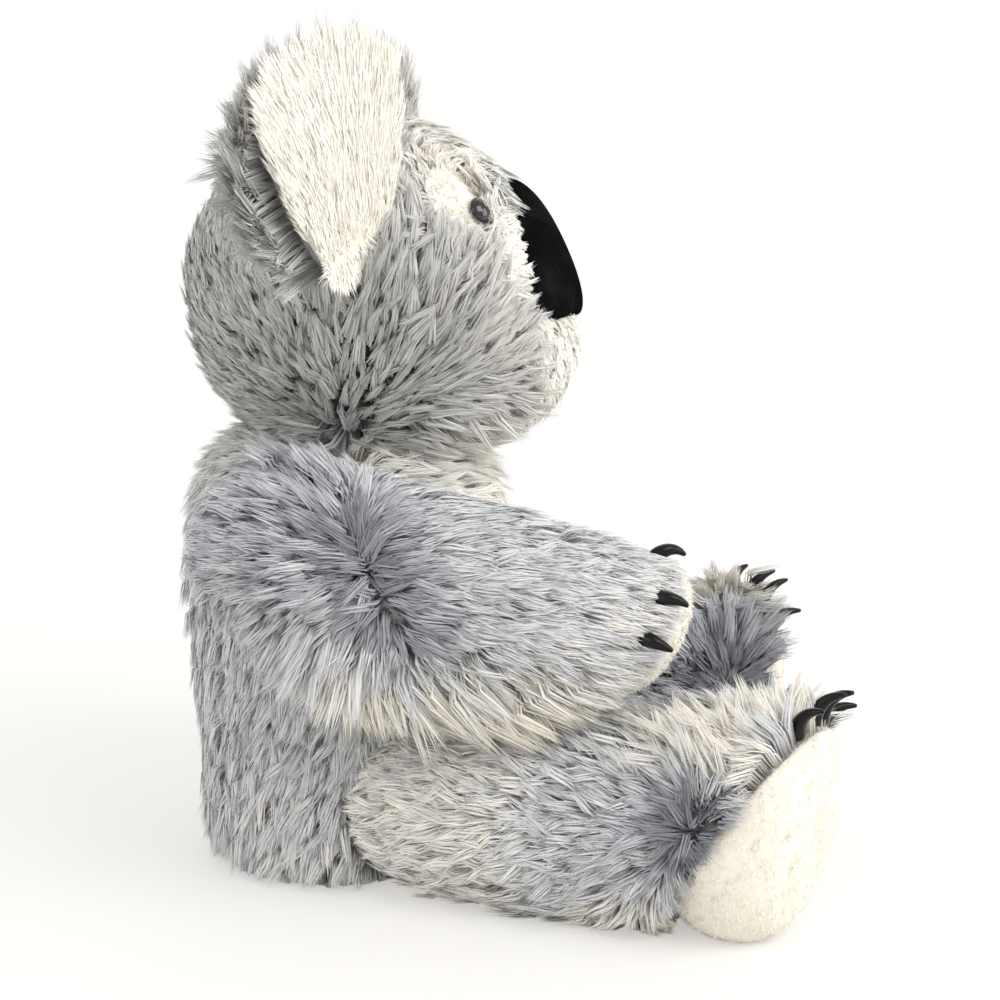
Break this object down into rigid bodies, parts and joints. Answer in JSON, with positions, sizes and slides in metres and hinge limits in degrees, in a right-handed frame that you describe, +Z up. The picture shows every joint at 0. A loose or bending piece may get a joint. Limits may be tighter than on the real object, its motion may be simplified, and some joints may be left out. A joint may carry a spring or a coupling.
{
  "type": "plush koala",
  "caption": "Sitting plush koala of grey fur fabric with a white bib, a large black nose, fluffy ears and limbs that flex at their seams.",
  "frame": {"origin": "middle of the flat face under the seat, on the floor", "axes": "+X the way the koala faces, +Y to its left, +Z up"},
  "size_m": [0.2274, 0.2701, 0.2849],
  "materials": {
    "grey_fur": "long pile fur fabric",
    "pale_fur": "white fur fabric",
    "cream_plush": "short pile plush",
    "black_velour": "black velour",
    "black_gloss": "gloss",
    "black_leatherette": "smooth leatherette",
    "white_stuffing": "fibre",
    "pellet_cloth": "woven cloth",
    "washer_plastic": "satin"
  },
  "bodies": {
    "torso": {"torso_back_skin": "grey_fur", "belly_panel": "pale_fur", "torso_stuffing": "white_stuffing", "pellet_bag": "pellet_cloth"},
    "head": {"face_skin": "grey_fur", "head_back_skin": "grey_fur", "muzzle_panel": "pale_fur", "head_stuffing": "white_stuffing", "nose_pad": "black_velour", "right_eye": "black_gloss", "right_eye_washer": "washer_plastic", "right_eye_patch": "pale_fur", "left_eye": "black_gloss", "left_eye_washer": "washer_plastic", "left_eye_patch": "pale_fur"},
    "right_ear": {"right_ear_back": "grey_fur", "right_ear_lining": "pale_fur"},
    "right_arm": {"right_arm_skin": "grey_fur", "right_arm_stuffing": "white_stuffing", "right_palm_pad": "cream_plush", "right_hand_claw_1": "black_leatherette", "right_hand_claw_2": "black_leatherette", "right_hand_claw_3": "black_leatherette", "right_hand_claw_4": "black_leatherette"},
    "right_leg": {"right_leg_skin": "grey_fur", "right_leg_stuffing": "white_stuffing", "right_sole_pad": "cream_plush", "right_foot_claw_1": "black_leatherette", "right_foot_claw_2": "black_leatherette", "right_foot_claw_3": "black_leatherette", "right_foot_claw_4": "black_leatherette"},
    "left_ear": {"left_ear_back": "grey_fur", "left_ear_lining": "pale_fur"},
    "left_arm": {"left_arm_skin": "grey_fur", "left_arm_stuffing": "white_stuffing", "left_palm_pad": "cream_plush", "left_hand_claw_1": "black_leatherette", "left_hand_claw_2": "black_leatherette", "left_hand_claw_3": "black_leatherette", "left_hand_claw_4": "black_leatherette"},
    "left_leg": {"left_leg_skin": "grey_fur", "left_leg_stuffing": "white_stuffing", "left_sole_pad": "cream_plush", "left_foot_claw_1": "black_leatherette", "left_foot_claw_2": "black_leatherette", "left_foot_claw_3": "black_leatherette", "left_foot_claw_4": "black_leatherette"}
  },
  "joints": [
    {"name": "head_turn", "type": "hinge", "parent": "torso", "child": "head", "pos_m": [0.005, 0, 0.158], "axis": [0, 0, 1], "range_deg": [-30, 30], "stiffness_Nm_per_rad": 0.4},
    {"name": "right_ear_bend", "type": "hinge", "parent": "head", "child": "right_ear", "pos_m": [0.01073, -0.06511, 0.21911], "axis": [-0.5962, -0.6621, -0.4541], "range_deg": [-15, 15], "stiffness_Nm_per_rad": 0.03},
    {"name": "left_ear_bend", "type": "hinge", "parent": "head", "child": "left_ear", "pos_m": [0.01073, 0.06511, 0.21911], "axis": [0.5962, -0.6621, 0.4541], "range_deg": [-15, 15], "stiffness_Nm_per_rad": 0.03},
    {"name": "right_arm_swing", "type": "hinge", "parent": "torso", "child": "right_arm", "pos_m": [-0.012, -0.05, 0.125], "axis": [0, -1, 0], "range_deg": [-4, 20], "stiffness_Nm_per_rad": 0.2, "springref_deg": 3.44},
    {"name": "left_arm_swing", "type": "hinge", "parent": "torso", "child": "left_arm", "pos_m": [-0.012, 0.05, 0.125], "axis": [0, -1, 0], "range_deg": [-4, 40], "stiffness_Nm_per_rad": 0.2, "springref_deg": 3.44},
    {"name": "right_leg_spread", "type": "hinge", "parent": "torso", "child": "right_leg", "pos_m": [0.035, -0.042, 0.0305], "axis": [0, 0, -1], "range_deg": [-10, 20], "stiffness_Nm_per_rad": 0.3},
    {"name": "left_leg_spread", "type": "hinge", "parent": "torso", "child": "left_leg", "pos_m": [0.035, 0.042, 0.0305], "axis": [0, 0, 1], "range_deg": [-10, 8], "stiffness_Nm_per_rad": 0.3}
  ]
}
